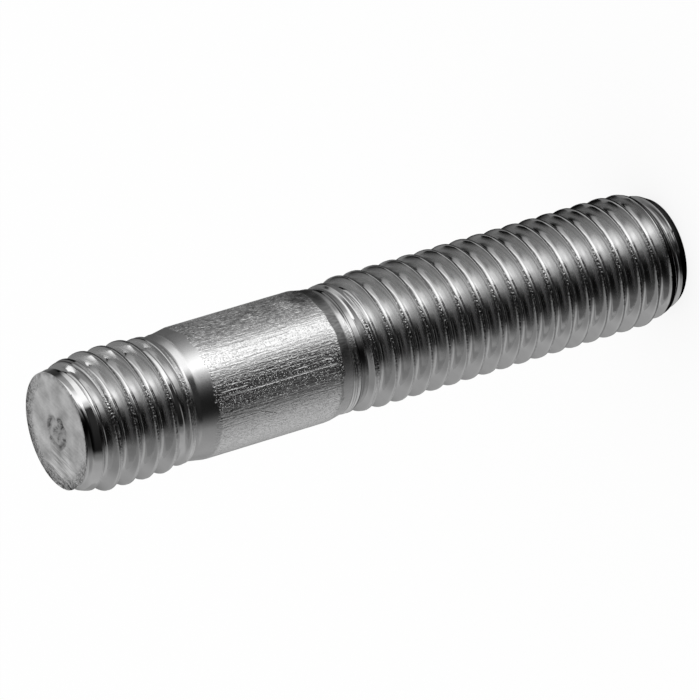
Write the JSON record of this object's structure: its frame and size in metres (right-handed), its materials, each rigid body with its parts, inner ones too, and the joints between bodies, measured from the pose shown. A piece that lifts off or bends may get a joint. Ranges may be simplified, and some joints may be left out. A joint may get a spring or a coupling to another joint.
{
  "type": "double ended stud",
  "caption": "Steel stud with a rolled thread at each end of a plain shank: the short end screws into a tapped hole, the long end takes a nut.",
  "frame": {"origin": "middle of the end face of the nut end (the long thread), which the stud stands on", "axes": "+Z along the stud's axis, from the nut end up to the screw-in end; +X crosses a crest of each thread's helix 0.63 mm and 42.73 mm up"},
  "size_m": [0.0098, 0.0098, 0.0505],
  "materials": {
    "steel": "bright rolled threads, fine matt skin on the shank, cropped and turned end faces"
  },
  "bodies": {
    "root": {"stud": "steel"}
  },
  "joints": []
}
